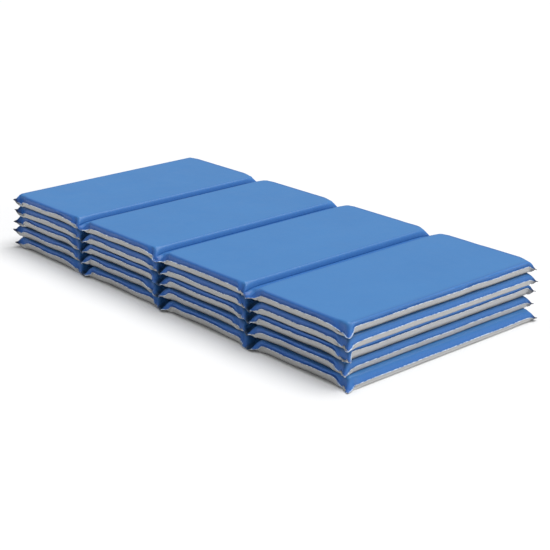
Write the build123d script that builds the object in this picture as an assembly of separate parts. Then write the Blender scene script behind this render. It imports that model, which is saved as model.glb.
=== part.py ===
"""A pile of five folding gym mats.

Each mat is four foam panels sealed between a blue top sheet and a grey bottom sheet of vinyl.
The two sheets are welded together round the outside and along three webs between the panels,
and the webs are what the mat folds on.

Frame: X along the mats' length, Y across their width, Z up, origin on the floor under the pile's
middle. Mats are numbered from the floor up, and panels are lettered from -X to +X.

The top mat lies free to fold, so its covers are cut at the hinge lines and its webs are pieces of
their own. The mats under it are held flat by the pile, and their sheets are whole.
"""

import os

from build123d import *

# Driving dimensions, in millimetres.
MAT_LENGTH = 1250.0  # over the weld flanges
MAT_WIDTH = 598.0  # over the weld flanges
FOAM_THICKNESS = 26.8
SHEET = 0.6  # one vinyl sheet
FOAM_FIT = 0.1  # air between the foam and a sheet
MAT_GAP = 0.4  # air between two mats in the pile
FLANGE = 3.0  # width of the welded lip outside the outer seam
SLOPE = 8.0  # how far a sheet leans in between its seam and the panel's flat face
FOLD_GAP = 0.8  # air between two panels folded flat on each other
HINGE_CLEAR = 0.4  # from a hinge line to the panel that turns on it
WEB_CLEAR = 1.0  # from a hinge line to the web that turns on it

PANELS = "abcd"
# How far each mat lies out of line with the others, along X and Y, from the floor up.
PILE_SHIFTS = [(10.0, -4.0), (-5.0, 0.0), (-3.0, 2.0), (3.0, 0.0), (0.0, 0.0)]

# Worked out from the dimensions above.
HALF_THICKNESS = FOAM_THICKNESS / 2 + FOAM_FIT + SHEET
MAT_THICKNESS = 2 * HALF_THICKNESS
MAT_PITCH = MAT_THICKNESS + MAT_GAP
WEB_WIDTH = MAT_THICKNESS + FOLD_GAP  # from hinge line to hinge line
PANEL_LENGTH = (MAT_LENGTH - 2 * FLANGE - (len(PANELS) - 1) * WEB_WIDTH) / len(PANELS)
PANEL_STEP = PANEL_LENGTH + WEB_WIDTH
PAN_LENGTH = PANEL_LENGTH - 2 * HINGE_CLEAR
PAN_WIDTH = MAT_WIDTH - 2 * FLANGE
SLOPE_WALL = 1.2 * SHEET  # the sloping side's wall, measured level
FOAM_INSET = SLOPE + SLOPE_WALL + FOAM_FIT
TOP_MAT = len(PILE_SHIFTS)


def centred_shifts():
    """The pile's shifts, moved so that the whole pile is centred on the origin."""
    middles = [(min(side) + max(side)) / 2 for side in zip(*PILE_SHIFTS)]
    return [tuple(s - m for s, m in zip(shift, middles)) for shift in PILE_SHIFTS]


def mat_centre(number):
    """The point midway between a mat's two faces, at the middle of its plan."""
    x, y = centred_shifts()[number - 1]
    return Pos(x, y, HALF_THICKNESS + (number - 1) * MAT_PITCH)


def panel_x(index):
    """The middle of a panel along X, from the mat's centre."""
    return (index - (len(PANELS) - 1) / 2) * PANEL_STEP


def web_x(index):
    """The middle of the web after a panel along X, from the mat's centre."""
    return panel_x(index) + PANEL_STEP / 2


def slab(x_low, x_high, width, z_low, z_high):
    """A flat block centred on Y."""
    size = (x_high - x_low, width, z_high - z_low)
    return Pos((x_low + x_high) / 2, 0, (z_low + z_high) / 2) * Box(*size)


def frustum(length, width, inset, height):
    """A block that stands on the XY plane and leans in by inset on all four sides."""
    foot = Plane.XY * Rectangle(length, width)
    head = Plane.XY.offset(height) * Rectangle(length - 2 * inset, width - 2 * inset)
    return loft([foot.face(), head.face()])


def pan_outside():
    """The outside of one panel's half cover, standing on the seam plane."""
    return frustum(PAN_LENGTH, PAN_WIDTH, SLOPE, HALF_THICKNESS)


def pan_inside():
    """The room under one panel's half cover, which holds half the foam."""
    depth = HALF_THICKNESS - SHEET
    inset = SLOPE * depth / HALF_THICKNESS
    return frustum(PAN_LENGTH - 2 * SLOPE_WALL, PAN_WIDTH - 2 * SLOPE_WALL, inset, depth)


def foam_core():
    """One panel's foam block, centred on the seam plane."""
    length = PAN_LENGTH - 2 * FOAM_INSET
    width = PAN_WIDTH - 2 * FOAM_INSET
    return Box(length, width, FOAM_THICKNESS)


def panel_half_cover(index):
    """The upper half cover of one panel of the top mat, with its welded lip."""
    reach = PAN_LENGTH / 2
    end_reach = PANEL_LENGTH / 2 + FLANGE
    x_low = -end_reach if index == 0 else -reach
    x_high = end_reach if index == len(PANELS) - 1 else reach
    lip = slab(x_low, x_high, MAT_WIDTH, 0, SHEET)
    return Pos(panel_x(index), 0, 0) * (lip + pan_outside() - pan_inside())


def whole_half_cover():
    """The upper sheet of a mat that lies flat: four pans, three web layers and the lip round them."""
    cover = slab(-MAT_LENGTH / 2, MAT_LENGTH / 2, MAT_WIDTH, 0, SHEET)
    places = [Pos(panel_x(i), 0, 0) for i in range(len(PANELS))]
    for place in places:
        cover += place * pan_outside()
    for place in places:
        cover -= place * pan_inside()
    return cover


def web_half():
    """The upper layer of one web of the top mat."""
    reach = WEB_WIDTH / 2 - WEB_CLEAR
    return slab(-reach, reach, MAT_WIDTH, 0, SHEET)


def lower_mat(number):
    """The nodes of one mat under the top one."""
    place = mat_centre(number)
    upper = whole_half_cover()
    nodes = {
        f"mat_{number}_top_cover": place * upper,
        f"mat_{number}_bottom_cover": place * mirror(upper, Plane.XY),
    }
    for i, letter in enumerate(PANELS):
        nodes[f"mat_{number}_foam_core_{letter}"] = place * Pos(panel_x(i), 0, 0) * foam_core()
    return nodes


def top_mat(number):
    """The nodes of the mat that lies on top and folds."""
    place = mat_centre(number)
    nodes = {}
    for i, letter in enumerate(PANELS):
        upper = panel_half_cover(i)
        nodes[f"mat_{number}_top_cover_{letter}"] = place * upper
        nodes[f"mat_{number}_bottom_cover_{letter}"] = place * mirror(upper, Plane.XY)
        nodes[f"mat_{number}_foam_core_{letter}"] = place * Pos(panel_x(i), 0, 0) * foam_core()
    for i, (near, far) in enumerate(zip(PANELS, PANELS[1:])):
        upper = Pos(web_x(i), 0, 0) * web_half()
        nodes[f"mat_{number}_web_{near}{far}_top_layer"] = place * upper
        nodes[f"mat_{number}_web_{near}{far}_bottom_layer"] = place * mirror(upper, Plane.XY)
    return nodes


def print_hinge_lines():
    """Where the top mat's hinge lines and the pile's faces are, for the record's joints and mounts."""
    centre = mat_centre(TOP_MAT).position
    for i, (near, far) in enumerate(zip(PANELS, PANELS[1:])):
        for name, side in ((near, -1), (far, 1)):
            x = centre.X + web_x(i) + side * WEB_WIDTH / 2
            print(f"hinge {near}{far} at panel {name}: x {x:.3f} y {centre.Y:.3f} z {centre.Z:.3f}")
    for number in range(1, TOP_MAT + 1):
        middle = mat_centre(number).position
        print(f"mat {number} centre: x {middle.X:.3f} y {middle.Y:.3f} z {middle.Z:.3f}")


def main():
    nodes = {}
    for number in range(1, TOP_MAT):
        nodes.update(lower_mat(number))
    nodes.update(top_mat(TOP_MAT))
    os.makedirs("parts", exist_ok=True)
    for name, shape in nodes.items():
        export_step(shape, f"parts/{name}.step")
    print_hinge_lines()


if __name__ == "__main__":
    main()
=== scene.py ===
import math

import bmesh
import bpy
import numpy as np
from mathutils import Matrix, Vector


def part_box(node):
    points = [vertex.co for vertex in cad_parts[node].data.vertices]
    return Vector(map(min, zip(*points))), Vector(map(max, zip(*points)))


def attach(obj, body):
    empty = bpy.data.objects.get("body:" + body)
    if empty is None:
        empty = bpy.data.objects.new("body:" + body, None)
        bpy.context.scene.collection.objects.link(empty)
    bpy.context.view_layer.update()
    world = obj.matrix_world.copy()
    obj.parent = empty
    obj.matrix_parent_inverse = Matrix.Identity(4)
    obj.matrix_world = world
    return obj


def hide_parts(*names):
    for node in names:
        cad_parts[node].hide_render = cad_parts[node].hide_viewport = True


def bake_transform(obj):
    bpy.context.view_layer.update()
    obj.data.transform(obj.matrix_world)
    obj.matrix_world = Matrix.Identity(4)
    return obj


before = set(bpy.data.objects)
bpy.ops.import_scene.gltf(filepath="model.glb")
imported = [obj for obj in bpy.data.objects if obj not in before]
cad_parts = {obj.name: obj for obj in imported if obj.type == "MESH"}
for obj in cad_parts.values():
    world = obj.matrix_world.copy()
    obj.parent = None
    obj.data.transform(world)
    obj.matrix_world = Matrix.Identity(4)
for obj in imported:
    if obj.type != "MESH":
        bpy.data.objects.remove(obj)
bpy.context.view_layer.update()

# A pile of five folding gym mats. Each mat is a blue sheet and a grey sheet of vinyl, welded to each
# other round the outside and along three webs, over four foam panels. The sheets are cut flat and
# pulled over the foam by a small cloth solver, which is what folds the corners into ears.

PANELS = "abcd"
MATS = (1, 2, 3, 4, 5)
TOP_MAT = 5

# The mat's make, in metres. The sizes that the CAD boxes give are read from them further down.
LIP = 0.003  # welded lip outside the outer seam
HINGE_CLEAR = 0.0004  # from a hinge line to the panel's seam
SLOPE = 0.008  # how far a filled side leans in
RISE = 0.0162  # sheet from the seam up to a panel's flat face
SHEET = 0.0005  # thickness of one vinyl sheet
WELD_GAP = 0.00003  # between the two sheets where they are welded
FOAM_ROUND = 0.006  # the foam's edges, squeezed round by the vinyl
FOAM_CLEAR = 0.00015  # between the foam and a sheet
CREASE = 60  # degrees, from which an edge is shaded sharp

# The sheets' grid
FINE, MID_X, MID_Y = 0.0032, 0.0065, 0.011  # spacing near the sides, and across a panel's middle
MARGIN = 0.036  # how far the fine spacing goes in from a side
RISE_CELLS = 5
WEB_CELLS = 9

# The cloth solver
STEPS = 240
PASSES = 2  # of the links, in each step
KEPT_SPEED = 0.92  # share of the speed kept from step to step
AIR, WEIGHT = 0.00002, 0.000004  # metres a step
RIM_PULL, WEB_PULL = 0.1, 0.02  # share of the way to its height that a seam or a web goes in a step
OVER_PULL = 1.5  # above 1, so that the links settle sooner
SQUARE, DIAGONAL, BENDING = 1.0, 0.35, 0.08  # how firm the links are
APART = 0.0012  # the least between the two sheets next to a seam
LOOSE = 0.012  # how far in from a panel's rounded edge the sheet is free to move
WEB_LOOSE, WEB_FROM_END = 0.022, 0.002  # how near a web's end, and a mat's, a web isn't held level
MAT_CLEAR = 0.00005  # between a sheet and the limit of its mat
WEB_HANG = 0.002  # how far past a mat's underside its web ends may hang
START_WAVE, START_LENGTH, START_NOISE = 0.0012, 0.03, 0.0004  # unevenness that the sheets start with
# The strength of those waves everywhere, what is added at the panels' corners, and how far that goes
CRUMPLE, CRUMPLE_CORNER, CRUMPLE_WIDE = 0.25, 2.5, 0.025

# How the outer seam of each mat lies, after the photo, as heights over the seam plane: along the front
# side and along the +X end, at the tip of the ear at the front left and just past it, at the far right
# tip, and at the middle of a web's ends, which hang down between the panels. The last is how wide the
# dip at the near corner is along the +X end.
SEAM_KEYS = ("side", "end", "ear", "past_ear", "far", "web", "chin")
SEAM_ROWS = {
    1: (0.0045, -0.0030, 0.000, -0.003, -0.008, -0.0135, 0.020),
    2: (0.0040, 0.0005, 0.004, -0.004, -0.007, -0.0165, 0.014),
    3: (0.0040, 0.0065, -0.003, -0.011, -0.004, -0.0165, 0.012),
    4: (0.0020, 0.0000, 0.004, -0.011, -0.008, -0.0165, 0.015),
    5: (0.0015, 0.0035, 0.002, -0.012, -0.009, -0.0125, 0.011),
}
SEAMS = {number: dict(zip(SEAM_KEYS, row)) for number, row in SEAM_ROWS.items()}

# The rest of the seam's run is the same for all mats
UNSEEN = (0.001, 0.004)  # between which the back and the left end lie
WAVES = ((0.0009, 0.12), (0.0002, 0.03))  # unevenness: how high and how long
PANEL_DIPS = ((-0.012, 0.022), (-0.0075, 0.015))  # right and left of a panel: how low and how wide
DIP_RANGE = (0.7, 1.3)  # how much those widths vary
CHIN_LOW, CHIN_LONG = -0.0122, 0.034  # the near corner's height, and its dip's length along the side
FAR_WIDE, BACK_WIDE, PAST_EAR_WIDE, EAR_WIDE = 0.011, 0.010, 0.015, 0.008
BACK_LOW = -0.002  # the back left corner
PAST_EAR = 0.016  # how far along the side from the front left corner
ON_SEAM = 1e-4  # what counts as on the seam

# Where the materials' marks are
# How far the painted shade at the lip's corners reaches
TIP_SIZE = 0.014
SIDE_FADE = 1.5  # slopes in from the seam, where the side's marks end
# How wide the line of painted shade is where the mats meet, in slopes
GAP_SHADE_WIDE = 0.28  # slopes
# How strong the painted side shade is at a mat's ends and on every filled side
DEEP_END, DEEP_SIDE = 0.5, 0.4  # at a mat's ends and on every filled side, against 1 on its long sides
# How strong the lip's painted highlight is at the webs' ends
WEB_LIP = 0.35  # the lip at the webs' ends, against 1 elsewhere
# Painted shade at the web ends: how far it takes to reach full strength, and how far it spreads
POCKET_EDGE, POCKET_DEEP = 0.006, 0.03  # from the panel's seam to full strength, and in along the web
# A blue sheet's share of the painted shade marks, against 1 for the others
PAINTED_SHADE_SHARES = {1: {"gap_shade": 0.3}, 5: {"gap_shade": 0.15, "web_end_shade": 0.1}}


def spaced(a, b, step):
    """Evenly spaced values from a up to, and without, b."""
    count = max(1, int(round((b - a) / step)))
    return list(np.linspace(a, b, count + 1))[:-1]


def find_sizes():
    """A mat's half thickness, panel spacing, and pan's half length and width, from the lowest mat."""
    top_low, top_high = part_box("mat_1_top_cover")
    bottom_low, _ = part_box("mat_1_bottom_cover")
    foam = [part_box(f"mat_1_foam_core_{p}") for p in PANELS]
    middles = [(low.x + high.x) / 2 for low, high in foam]
    step = (middles[-1] - middles[0]) / (len(PANELS) - 1)
    half_length = (top_high.x - top_low.x) / 2
    half = (top_high.z - bottom_low.z) / 2
    reach = half_length - step * (len(PANELS) - 1) / 2 - LIP - HINGE_CLEAR
    wide = (top_high.y - top_low.y) / 2 - LIP
    return half, step, reach, wide


# Half a mat's thickness, the panels' spacing, and a pan's half length and half width
HALF, STEP, REACH, WIDE = find_sizes()
WEB = STEP - 2 * REACH
CENTRES = (np.arange(len(PANELS)) - (len(PANELS) - 1) / 2) * STEP
END = CENTRES[-1] + REACH  # the seam at a mat's end
PANEL_FLAT = 2 * (REACH - SLOPE + RISE)  # one panel's sheet along X, laid flat


def mat_centre(number):
    """The middle of a mat's seam plane."""
    if number == TOP_MAT:
        low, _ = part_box(f"mat_{number}_top_cover_{PANELS[0]}")
        _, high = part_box(f"mat_{number}_top_cover_{PANELS[-1]}")
    else:
        low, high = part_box(f"mat_{number}_top_cover")
    return np.array([(low.x + high.x) / 2, (low.y + high.y) / 2, low.z])


# ---------------------------------------------------------------- the sheets' grid


def across(top, mid):
    """Grid lines over one filled pan, measured on the flat sheet from its middle."""
    half = top + RISE
    lines = spaced(-half, -top, RISE / RISE_CELLS)
    lines += spaced(-top, -top + MARGIN, FINE)
    lines += spaced(-top + MARGIN, top - MARGIN, mid)
    lines += spaced(top - MARGIN, top, FINE)
    lines += spaced(top, half, RISE / RISE_CELLS)
    return np.array(lines + [half])


def filled(flat, top):
    """Where the flat sheet's lines come to over a filled pan."""
    leaned = np.sign(flat) * (top + (np.abs(flat) - top) * SLOPE / RISE)
    return np.where(np.abs(flat) <= top, flat, leaned)


def with_lips(lines):
    return np.concatenate([[lines[0] - LIP], lines, [lines[-1] + LIP]])


def lines_along():
    """Grid lines along X, flat and filled, and the first and last line of each panel."""
    pan = across(REACH - SLOPE, MID_X)
    web = np.linspace(0, 1, WEB_CELLS + 1)[1:-1]
    flat, real, spans = [], [], []
    for i, centre in enumerate(CENTRES):
        middle = (i - (len(PANELS) - 1) / 2) * (PANEL_FLAT + WEB)
        first = len(flat) + 1
        flat += list(middle + pan)
        real += list(centre + filled(pan, REACH - SLOPE))
        spans.append((first, len(flat)))
        if i < len(PANELS) - 1:
            flat += list(middle + PANEL_FLAT / 2 + web * WEB)
            real += list(centre + REACH + web * WEB)
    return with_lips(np.array(flat)), with_lips(np.array(real)), spans


def lines_across():
    pan = across(WIDE - SLOPE, MID_Y)
    return with_lips(pan), with_lips(filled(pan, WIDE - SLOPE))


FLAT_X, REAL_X, SPANS = lines_along()
FLAT_Y, REAL_Y = lines_across()


def inside_pans():
    """How far each grid point is inside its panel's seam; below zero on lips and webs."""
    along = (REACH - np.abs(REAL_X[:, None] - CENTRES[None])).max(1)
    over = WIDE - np.abs(REAL_Y)
    return np.minimum(along[:, None], over[None, :])


INSIDE = inside_pans()
WELDED = INSIDE <= 1e-9


def find_marks():
    """What the materials need to know, from 0 to 1 at each grid point.

    lip is the welded lip's cut edge, which takes a painted highlight, and tip its corners, which take
    painted shade. side is the filled sides, and gap_shade a line of painted shade along their upper
    edge, where the mats meet. painted_side_shade is painted shade that deepens the colour near the
    outline, and web_end_shade painted shade at the web ends.
    """
    lip = np.zeros(INSIDE.shape)
    lip[[0, -1]] = lip[:, [0, -1]] = 1
    x, y = np.abs(REAL_X)[:, None] - REAL_X[-1], np.abs(REAL_Y)[None] - REAL_Y[-1]
    # Painted shade that darkens the lip's corners nearly to black
    tip = np.clip(1 - np.hypot(x, y) / TIP_SIZE, 0, 1)
    tip[REAL_X > 0] *= REAL_Y > 0  # the ears at the near corner get no painted shade at their tips
    side = np.clip(SIDE_FADE - INSIDE / SLOPE, 0, 1)
    # A line of painted shade along the upper edge of the filled sides, where the mats meet
    gap_shade = np.exp(-(((INSIDE / SLOPE - 1.0) / GAP_SHADE_WIDE) ** 2))
    # Painted shade that deepens the colour near the outline and on the filled sides
    from_side, from_end = WIDE - np.abs(REAL_Y)[None], END - np.abs(REAL_X)[:, None]
    deep_side, deep_end = (np.clip(SIDE_FADE - d / SLOPE, 0, 1) for d in (from_side, from_end))
    painted_side_shade = np.maximum(np.maximum(deep_side, DEEP_END * deep_end), DEEP_SIDE * side)
    gap = np.abs(REAL_X[:, None] - CENTRES[None]).min(1)[:, None] - REACH
    lip = lip * np.where((gap > 0) & (from_end > 0), WEB_LIP, 1)
    # Painted shade at the web ends, under the hanging lips
    shade = np.exp(-((np.maximum(from_side, 0) / POCKET_DEEP) ** 2))
    web_end_shade = np.clip(gap / POCKET_EDGE, 0, 1) * (from_end > 0) * shade
    return {"lip": lip, "tip": tip, "side": side, "gap_shade": gap_shade, "painted_side_shade": painted_side_shade, "web_end_shade": web_end_shade}


MARKS = find_marks()


def ripple(rng, x, y, scale, waves=60):
    """Smooth random unevenness, about one high."""
    out = np.zeros_like(x)
    for _ in range(waves):
        angle = rng.uniform(0, 2 * np.pi)
        pace = 2 * np.pi / (scale * rng.uniform(0.6, 1.6))
        out += np.sin(pace * (x * np.cos(angle) + y * np.sin(angle)) + rng.uniform(0, 2 * np.pi))
    return out / np.sqrt(waves / 2)


# ---------------------------------------------------------------- the cloth solver


def links(top_id, bottom_id, flat, free, count):
    """Pairs of points that keep their flat distance, and how firmly."""
    parts = []
    for ids in (top_id, bottom_id):
        parts += [
            (ids[:-1], ids[1:], SQUARE), (ids[:, :-1], ids[:, 1:], SQUARE),
            (ids[:-1, :-1], ids[1:, 1:], DIAGONAL), (ids[1:, :-1], ids[:-1, 1:], DIAGONAL),
            (ids[:-2], ids[2:], BENDING), (ids[:, :-2], ids[:, 2:], BENDING),
        ]
    a = np.concatenate([p[0].ravel() for p in parts])
    b = np.concatenate([p[1].ravel() for p in parts])
    firm = np.concatenate([np.full(p[0].size, p[2]) for p in parts]).astype(np.float32)
    key = np.minimum(a, b).astype(np.int64) * count + np.maximum(a, b)
    _, first = np.unique(key, return_index=True)
    a, b, firm = a[first], b[first], firm[first]
    kept = free[a] | free[b]
    a, b, firm = a[kept], b[kept], firm[kept]
    return a, b, firm, np.linalg.norm(flat[a] - flat[b], axis=1).astype(np.float32)


def dip(distance, width):
    """One at a place, and gone a width or two away from it."""
    return np.exp(-((distance / width) ** 2))


def seam_heights(rng, number, co):
    """Where the outer seam settles. It runs high along each panel and dips at the corners and webs."""
    look = SEAMS[number]
    x, y = co[:, 0], co[:, 1]
    panel = np.argmin(np.abs(x[:, None] - CENTRES), 1)
    to_left, to_right = x - CENTRES[panel] + REACH, CENTRES[panel] + REACH - x
    rest = rng.uniform(*UNSEEN, 2)
    uneven = sum(high * ripple(rng, x, y, length) for high, length in WAVES)
    vary = rng.uniform(*DIP_RANGE, (2, 2, len(PANELS)))[(y < 0).astype(int)]

    heights = np.where(y < 0, look["side"], rest[0]) + uneven
    rows = np.arange(len(x))
    for k, (distance, (low, wide)) in enumerate(zip((to_right, to_left), PANEL_DIPS)):
        share = dip(np.maximum(distance, 0), wide * vary[rows, k, panel])
        heights = heights * (1 - share) + low * share
    on_web = np.clip(-np.minimum(to_left, to_right) / (WEB / 2), 0, 1) * (np.abs(x) < END - WEB)
    heights = heights * (1 - on_web) + look["web"] * on_web

    at_end = np.where(x > 0, look["end"], rest[1]) + 0.5 * uneven
    heights = np.where(np.abs(x) > END - ON_SEAM, at_end, heights)
    chin = np.exp(-(((END - x) / CHIN_LONG) ** 4) - ((y + WIDE) / look["chin"]) ** 2)
    heights = heights * (1 - chin) + CHIN_LOW * chin
    tip_x, tip_y = END + LIP, WIDE + LIP
    places = (  # where, the height there, and how wide the dip is
        (tip_x, tip_y, look["far"], FAR_WIDE),
        (-END, WIDE, BACK_LOW, BACK_WIDE),
        (-END + PAST_EAR, -WIDE, look["past_ear"], PAST_EAR_WIDE),
        (-tip_x, -tip_y, look["ear"], EAR_WIDE),
    )
    for at_x, at_y, low, wide in places:
        share = dip(np.hypot(x - at_x, y - at_y), wide)
        heights = heights * (1 - share) + low * share
    return heights


def solve_mat(number):
    """Pulls the two flat sheets over the foam. Returns the points on the top and bottom grids."""
    rng = np.random.default_rng(number * 11 + 3)
    nx, ny = INSIDE.shape
    top_id = np.arange(nx * ny).reshape(nx, ny)
    bottom_id = top_id.copy()
    bottom_id[~WELDED] = nx * ny + np.arange((~WELDED).sum())
    count = nx * ny + (~WELDED).sum()
    x_grid, y_grid = np.meshgrid(REAL_X, REAL_Y, indexing="ij")
    flat_x, flat_y = np.meshgrid(FLAT_X, FLAT_Y, indexing="ij")
    share = np.clip(INSIDE / SLOPE, 0, 1)
    co = np.zeros((count, 3), np.float32)
    flat = np.zeros((count, 2), np.float32)
    inside = np.zeros(count, np.float32)
    side = np.zeros(count, np.float32)
    for ids, sign in ((bottom_id, -1.0), (top_id, 1.0)):
        at = ids.ravel()
        co[at] = np.stack([x_grid, y_grid, sign * HALF * share], -1).reshape(-1, 3)
        flat[at] = np.stack([flat_x, flat_y], -1).reshape(-1, 2)
        inside[at] = INSIDE.ravel()
        side[at] = np.where(WELDED, 0, sign).ravel()
    free = inside < SLOPE + LOOSE
    a, b, firm, length = links(top_id, bottom_id, flat, free, count)
    both = np.concatenate([a, b])
    free_a, free_b = free[a].astype(np.float32), free[b].astype(np.float32)
    shared = np.maximum(free_a + free_b, 1)
    weight = np.bincount(both, np.concatenate([firm, firm]), count).astype(np.float32) + 1e-6

    # The outer seam is pulled to its heights, and the webs to the seam plane
    rim = (np.abs(co[:, 0]) > END - ON_SEAM) | (np.abs(co[:, 1]) > WIDE - ON_SEAM)
    rim = np.where(rim & free)[0]
    rim_height = seam_heights(rng, number, co)[rim].astype(np.float32)
    on_web = WELDED & (np.abs(y_grid) < WIDE - WEB_LOOSE) & (np.abs(x_grid) < END - WEB_FROM_END)
    webs = np.unique(top_id[on_web])

    # What holds the sheets: the foam, each other, and the mats above and below
    moving = np.where(free)[0]
    panel = np.argmin(np.abs(co[:, 0][:, None] - CENTRES), 1)[moving]
    foam_at = np.stack([CENTRES[panel], 0 * panel, 0 * panel], 1).astype(np.float32)
    loose_pair = ~WELDED & (INSIDE < SLOPE + LOOSE)
    pair_top, pair_bottom = top_id[loose_pair], bottom_id[loose_pair]
    room = HALF - (SHEET + WELD_GAP) * np.clip(1 - inside[moving] / SLOPE, 0, 1) - MAT_CLEAR
    below = WEB_HANG if SEAMS[number]["web"] < -HALF else 0
    lowest = -room - np.where(side[moving] == 0, below, 0)
    foam_half = np.array([REACH - SLOPE, WIDE - SLOPE, HALF], np.float32) - FOAM_ROUND

    # The sheets start uneven, most of all round the panels' corners
    x = co.copy()
    along = np.abs(REACH - np.abs(co[:, 0][:, None] - CENTRES)).min(1)
    crumple = CRUMPLE + CRUMPLE_CORNER * dip(np.hypot(along, WIDE - np.abs(co[:, 1])), CRUMPLE_WIDE)
    x[:, 2] += START_WAVE * crumple * ripple(rng, co[:, 0], co[:, 1], START_LENGTH) * free
    for k in (0, 1):
        x[:, k] += START_NOISE * rng.normal(size=count) * free
    speed = np.zeros_like(x)
    for _ in range(STEPS):
        before = x.copy()
        x[moving] += speed[moving] * KEPT_SPEED
        x[moving, 2] += side[moving] * AIR - WEIGHT
        x[rim, 2] += (rim_height - x[rim, 2]) * RIM_PULL
        x[webs, 2] -= x[webs, 2] * WEB_PULL
        for _ in range(PASSES):
            d = x[b] - x[a]
            now = np.sqrt((d * d).sum(1))
            pull = (firm * (now - length) / (now + 1e-9) / shared)[:, None] * d
            for k in range(3):
                p = pull[:, k]
                total = np.bincount(both, np.concatenate([p * free_a, -p * free_b]), count)
                x[:, k] += (total / weight * OVER_PULL).astype(np.float32)
        p = x[moving] - foam_at
        over = np.maximum(np.abs(p) - foam_half, 0)
        reach = np.sqrt((over * over).sum(1))
        hit = (reach < FOAM_ROUND) & (over.max(1) > 0)
        out = np.sign(p[hit]) * over[hit] / (reach[hit] + 1e-9)[:, None]
        x[moving[hit]] += out * (FOAM_ROUND - reach[hit])[:, None]
        apart = np.maximum(APART - (x[pair_top, 2] - x[pair_bottom, 2]), 0) / 2
        x[pair_top, 2] += apart
        x[pair_bottom, 2] -= apart
        x[moving, 2] = np.clip(x[moving, 2], lowest, room)
        speed = x - before
    return x[top_id].astype(float), x[bottom_id].astype(float)


# ---------------------------------------------------------------- meshes


def grid_normals(points):
    """Upward normals of a grid of points."""
    along = np.gradient(points, axis=0)
    over = np.gradient(points, axis=1)
    n = np.cross(along, over)
    return n / (np.linalg.norm(n, axis=2, keepdims=True) + 1e-12)


def sheet_faces(points, side):
    """A sheet's outer and inner points. The outer ones are as solved, but for where it is welded."""
    n = grid_normals(points) * side
    proud = (SHEET + WELD_GAP) * np.clip(1 - INSIDE / SLOPE, 0, 1)
    outer = points + n * proud[:, :, None]
    return outer, outer - n * SHEET


def shell_quads(nx, ny, side):
    """Faces of a closed shell of two grids, outer first."""
    ids = np.arange(nx * ny).reshape(nx, ny)
    inner = ids + nx * ny

    def quads(a, b, c, d):
        return np.stack([a.ravel(), b.ravel(), c.ravel(), d.ravel()], 1)

    faces = [
        quads(ids[:-1, :-1], ids[1:, :-1], ids[1:, 1:], ids[:-1, 1:]),
        quads(inner[:-1, :-1], inner[:-1, 1:], inner[1:, 1:], inner[1:, :-1]),
        quads(ids[:-1, 0], inner[:-1, 0], inner[1:, 0], ids[1:, 0]),
        quads(ids[:-1, -1], ids[1:, -1], inner[1:, -1], inner[:-1, -1]),
        quads(ids[0, :-1], ids[0, 1:], inner[0, 1:], inner[0, :-1]),
        quads(ids[-1, :-1], inner[-1, :-1], inner[-1, 1:], ids[-1, 1:]),
    ]
    faces = np.concatenate(faces)
    return faces if side > 0 else faces[:, ::-1]


def add_object(name, data):
    obj = bpy.data.objects.new(name, data)
    bpy.context.scene.collection.objects.link(obj)
    return obj


def finish_mesh(mesh, material):
    mesh.polygons.foreach_set("use_smooth", [True] * len(mesh.polygons))
    mesh.materials.append(material)


def add_sheet(number, name, faces, first, last, side, material):
    """One piece of a sheet, from its outer and inner points: the grid's columns from first to last."""
    faces = [points[first : last + 1] for points in faces]
    nx, ny, _ = faces[0].shape
    verts = np.concatenate([points.reshape(-1, 3) for points in faces])
    mesh = bpy.data.meshes.new(name)
    mesh.from_pydata(verts.tolist(), [], shell_quads(nx, ny, side).tolist())
    mesh.set_sharp_from_angle(angle=math.radians(CREASE))
    finish_mesh(mesh, material)
    shares = PAINTED_SHADE_SHARES.get(number, {}) if side > 0 else {}
    for key, values in MARKS.items():
        values = shares.get(key, 1) * np.tile(values[first : last + 1].ravel(), 2)
        attribute = mesh.attributes.new(key, "FLOAT", "POINT")
        attribute.data.foreach_set("value", values.astype(np.float32))
    return add_object(name, mesh)


def add_foam(number, panel, body, material):
    """A foam panel with the round edges that the vinyl gives it."""
    name, node = f"mat_{number}_foam_{panel}", f"mat_{number}_foam_core_{panel}"
    low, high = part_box(node)
    centre = (low + high) / 2
    inset = SHEET + FOAM_CLEAR
    size = Vector((REACH - SLOPE, WIDE - SLOPE, HALF)) - Vector((inset,) * 3)
    bm = bmesh.new()
    bmesh.ops.create_cube(bm, size=2)
    for v in bm.verts:
        v.co = centre + Vector(c * s for c, s in zip(v.co, size))
    offset = FOAM_ROUND - inset
    bmesh.ops.bevel(bm, geom=bm.edges[:], offset=offset, segments=5, profile=0.5, affect="EDGES")
    mesh = bpy.data.meshes.new(name)
    bm.to_mesh(mesh)
    bm.free()
    finish_mesh(mesh, material)
    obj = add_object(name, mesh)
    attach(obj, body)
    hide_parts(node)
    return name


# ---------------------------------------------------------------- materials


def node_material(name):
    material = bpy.data.materials.new(name)
    material.use_nodes = True
    nodes, wires = material.node_tree.nodes, material.node_tree.links
    nodes.clear()
    shader = nodes.new("ShaderNodeBsdfPrincipled")
    out = nodes.new("ShaderNodeOutputMaterial")
    wires.new(shader.outputs[0], out.inputs[0])
    place = nodes.new("ShaderNodeTexCoord").outputs["Object"]
    return material, nodes, wires, shader, place


def noise(nodes, wires, place, scale, detail=3):
    n = nodes.new("ShaderNodeTexNoise")
    n.inputs["Scale"].default_value = scale
    n.inputs["Detail"].default_value = detail
    n.inputs["Roughness"].default_value = 0.55
    wires.new(place, n.inputs["Vector"])
    return n.outputs[0]


def ramp(nodes, wires, value, low, high, to_low=0.0, to_high=1.0):
    n = nodes.new("ShaderNodeMapRange")
    limits = {"From Min": low, "From Max": high, "To Min": to_low, "To Max": to_high}
    for socket, number in limits.items():
        n.inputs[socket].default_value = number
    wires.new(value, n.inputs["Value"])
    return n.outputs[0]


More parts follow.
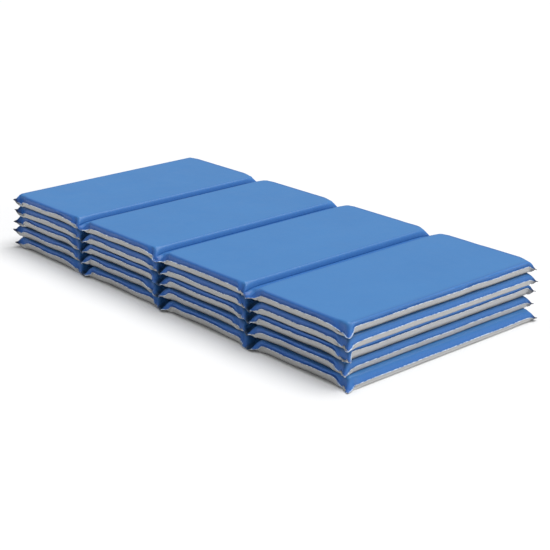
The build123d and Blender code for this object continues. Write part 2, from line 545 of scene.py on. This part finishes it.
def mix(nodes, wires, share, a, b):
    n = nodes.new("ShaderNodeMix")
    n.data_type = "RGBA"
    wires.new(share, n.inputs["Factor"])
    for socket, c in ((n.inputs[6], a), (n.inputs[7], b)):
        if isinstance(c, tuple):
            socket.default_value = (*c, 1)
        else:
            wires.new(c, socket)
    return n.outputs[2]


def bump(nodes, wires, height, distance, strength, normal=None):
    n = nodes.new("ShaderNodeBump")
    n.inputs["Strength"].default_value = strength
    n.inputs["Distance"].default_value = distance
    wires.new(height, n.inputs["Height"])
    if normal is not None:
        wires.new(normal, n.inputs["Normal"])
    return n.outputs[0]


def times(nodes, wires, a, b):
    n = nodes.new("ShaderNodeMath")
    n.operation = "MULTIPLY"
    for socket, value in zip(n.inputs, (a, b)):
        if isinstance(value, float):
            socket.default_value = value
        else:
            wires.new(value, socket)
    return n.outputs[0]


def mark(nodes, name):
    n = nodes.new("ShaderNodeAttribute")
    n.attribute_name = name
    return n.outputs["Fac"]


def vinyl(name, base, soiled, painted_side_shade, cut, tip, rough):
    """Vinyl in five colours: base and soiled in clouds, painted_side_shade at the outline, cut and tip
    on the lip. painted_side_shade and tip are painted shade, and cut is a painted highlight.
    """
    material, nodes, wires, shader, place = node_material(name)
    cloud = ramp(nodes, wires, noise(nodes, wires, place, scale=7, detail=4), low=0.35, high=0.7)
    colour = mix(nodes, wires, cloud, base, soiled)
    # Painted shade: the colour deepens towards the outline
    colour = mix(nodes, wires, mark(nodes, "painted_side_shade"), colour, painted_side_shade)
    # Painted shade: a dark line in patches where the mats meet, and dark web ends
    patches = noise(nodes, wires, place, scale=30)
    gap_shade_patches = ramp(nodes, wires, patches, low=0.2, high=0.6, to_low=0.45, to_high=0.75)
    shade_colour = tuple(0.25 * c for c in base)
    colour = mix(nodes, wires, times(nodes, wires, mark(nodes, "gap_shade"), gap_shade_patches), colour, shade_colour)
    # Painted shade at the web ends
    colour = mix(nodes, wires, mark(nodes, "web_end_shade"), colour, shade_colour)
    # A painted highlight along the lip's cut edge, in patches
    edge = ramp(nodes, wires, mark(nodes, "lip"), low=0.12, high=0.45)
    highlight_patches = ramp(nodes, wires, noise(nodes, wires, place, scale=110, detail=2), low=0.35, high=0.6)
    colour = mix(nodes, wires, times(nodes, wires, edge, highlight_patches), colour, cut)
    # Painted shade: the lip's corners go nearly black
    corner = ramp(nodes, wires, mark(nodes, "tip"), low=0.05, high=0.55)
    wires.new(mix(nodes, wires, corner, colour, tip), shader.inputs["Base Color"])
    patches = noise(nodes, wires, place, scale=24, detail=4)
    gloss = ramp(nodes, wires, patches, low=0.3, high=0.7, to_low=rough - 0.04, to_high=rough + 0.05)
    wires.new(gloss, shader.inputs["Roughness"])
    shader.inputs["Specular IOR Level"].default_value = 0.35

    # Wrinkles that run up the filled sides, a slight unevenness, and fine grain
    upright = nodes.new("ShaderNodeMapping")
    upright.inputs["Scale"].default_value = (1, 1, 0.15)
    wires.new(place, upright.inputs["Vector"])
    gather = noise(nodes, wires, upright.outputs[0], scale=150, detail=2)
    gather = times(nodes, wires, gather, mark(nodes, "side"))
    uneven = noise(nodes, wires, place, scale=45)
    grain = nodes.new("ShaderNodeTexVoronoi")
    grain.feature = "SMOOTH_F1"
    grain.inputs["Scale"].default_value = 900
    wires.new(place, grain.inputs["Vector"])
    normal = None
    for height, distance, strength in (
        (gather, 0.0018, 0.5), (uneven, 0.0003, 0.2), (grain.outputs["Distance"], 0.00008, 0.5),
    ):
        normal = bump(nodes, wires, height, distance, strength, normal)
    wires.new(normal, shader.inputs["Normal"])
    return material


def foam_material():
    material, nodes, wires, shader, place = node_material("foam")
    cells = nodes.new("ShaderNodeTexVoronoi")
    cells.inputs["Scale"].default_value = 700
    wires.new(place, cells.inputs["Vector"])
    shade = ramp(nodes, wires, cells.outputs["Distance"], low=0.1, high=0.7)
    colour = mix(nodes, wires, shade, (0.80, 0.74, 0.55), (0.60, 0.52, 0.33))
    wires.new(colour, shader.inputs["Base Color"])
    shader.inputs["Roughness"].default_value = 0.95
    pits = bump(nodes, wires, cells.outputs["Distance"], distance=0.0006, strength=0.8)
    wires.new(pits, shader.inputs["Normal"])
    return material


# cut is a painted highlight on the lip's edge, and tip is painted shade at the lip's corners
BLUE = vinyl(
    "blue_vinyl", (0.055, 0.208, 0.490), (0.051, 0.198, 0.475), painted_side_shade=(0.026, 0.124, 0.430),
    cut=(0.60, 0.72, 0.85), tip=(0.006, 0.015, 0.05), rough=0.40,
)
GREY = vinyl(
    "grey_vinyl", (0.50, 0.50, 0.50), (0.47, 0.47, 0.47), painted_side_shade=(0.47, 0.47, 0.46),
    cut=(0.80, 0.80, 0.80), tip=(0.04, 0.045, 0.06), rough=0.45,
)
FOAM = foam_material()


# ---------------------------------------------------------------- the mats


def declare_sheet(node):
    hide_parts(node)


def build_mat(number):
    top, bottom = solve_mat(number)
    centre = mat_centre(number)
    mat = f"mat_{number}"
    body_of = {p: f"{mat}_panel_{p}" if number == TOP_MAT else mat for p in PANELS}
    foams = {p: add_foam(number, p, body_of[p], FOAM) for p in PANELS}
    last = len(REAL_X) - 1
    sheets = (("top", "blue", 1, top, BLUE), ("bottom", "grey", -1, bottom, GREY))
    for where, tint, side, points, material in sheets:
        faces = [face + centre for face in sheet_faces(points, side)]
        if number != TOP_MAT:
            obj = add_sheet(number, f"{mat}_{tint}_sheet", faces, 0, last, side, material)
            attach(obj, mat)
            declare_sheet(f"{mat}_{where}_cover")
            continue
        for i, p in enumerate(PANELS):
            first, end = SPANS[i]
            lip = 0
            if i == 0:
                first, lip = 0, LIP
            if i == len(PANELS) - 1:
                end, lip = last, LIP
            obj = add_sheet(number, f"{mat}_{tint}_sheet_{p}", faces, first, end, side, material)
            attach(obj, body_of[p])
            declare_sheet(f"{mat}_{where}_cover_{p}")
        for i, (a, b) in enumerate(zip(PANELS, PANELS[1:])):
            first, end = SPANS[i][1], SPANS[i + 1][0]
            obj = add_sheet(number, f"{mat}_{tint}_web_{a}{b}", faces, first, end, side, material)
            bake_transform(obj)
            declare_sheet(f"{mat}_web_{a}{b}_{where}_layer")


# ---------------------------------------------------------------- camera, floor and light


def add_camera():
    """The photo's camera, as fitted to the pile's corners. Azimuth 0 is from -Y, and 90 from +X."""
    azimuth, elevation = math.radians(48.285), math.radians(19.6145)
    aim, distance = Vector((0.1475, -0.0682, 0.0688)), 3.1833
    level = math.cos(elevation)
    back = Vector((math.sin(azimuth) * level, -math.cos(azimuth) * level, math.sin(elevation)))
    data = bpy.data.cameras.new("camera")
    data.sensor_width = 36
    data.lens = 88.573
    camera = add_object("camera", data)
    camera.location = aim + back * distance
    camera.rotation_euler = back.to_track_quat("Z", "Y").to_euler()
    bpy.context.scene.camera = camera


def add_soft_sun(name, azimuth, elevation, spread, strength):
    """A soft light from far off. Azimuth 0 is from +X, and 90 from +Y."""
    a, e = math.radians(azimuth), math.radians(elevation)
    data = bpy.data.lights.new(name, "SUN")
    data.energy = strength
    data.angle = math.radians(spread)
    back = Vector((math.cos(a) * math.cos(e), math.sin(a) * math.cos(e), math.sin(e)))
    add_object(name, data).rotation_euler = back.to_track_quat("Z", "Y").to_euler()


def add_floor():
    mesh = bpy.data.meshes.new("floor")
    r = 70  # large enough that no view sees past it
    mesh.from_pydata([(-r, -r, 0), (r, -r, 0), (r, r, 0), (-r, r, 0)], [], [(0, 1, 2, 3)])
    floor = add_object("floor", mesh)
    floor.location.z = -0.0005  # just clear of the lowest mat
    material, nodes, wires, shader, place = node_material("floor")
    colour = mix(nodes, wires, noise(nodes, wires, place, scale=3), (0.86,) * 3, (0.84,) * 3)
    wires.new(colour, shader.inputs["Base Color"])
    shader.inputs["Roughness"].default_value = 0.9
    mesh.materials.append(material)


def add_light():
    world = bpy.data.worlds.new("studio")
    bpy.context.scene.world = world
    world.use_nodes = True
    sky = world.node_tree.nodes["Background"]
    sky.inputs[0].default_value = (0.97, 0.98, 1.0, 1)
    sky.inputs[1].default_value = 0.36
    add_soft_sun("overhead", azimuth=60, elevation=72, spread=50, strength=2.75)
    add_soft_sun("fill", azimuth=5, elevation=12, spread=30, strength=0.8)
    bpy.context.scene.view_settings.view_transform = "Standard"


add_camera()
add_floor()
add_light()
for mat in MATS:
    build_mat(mat)
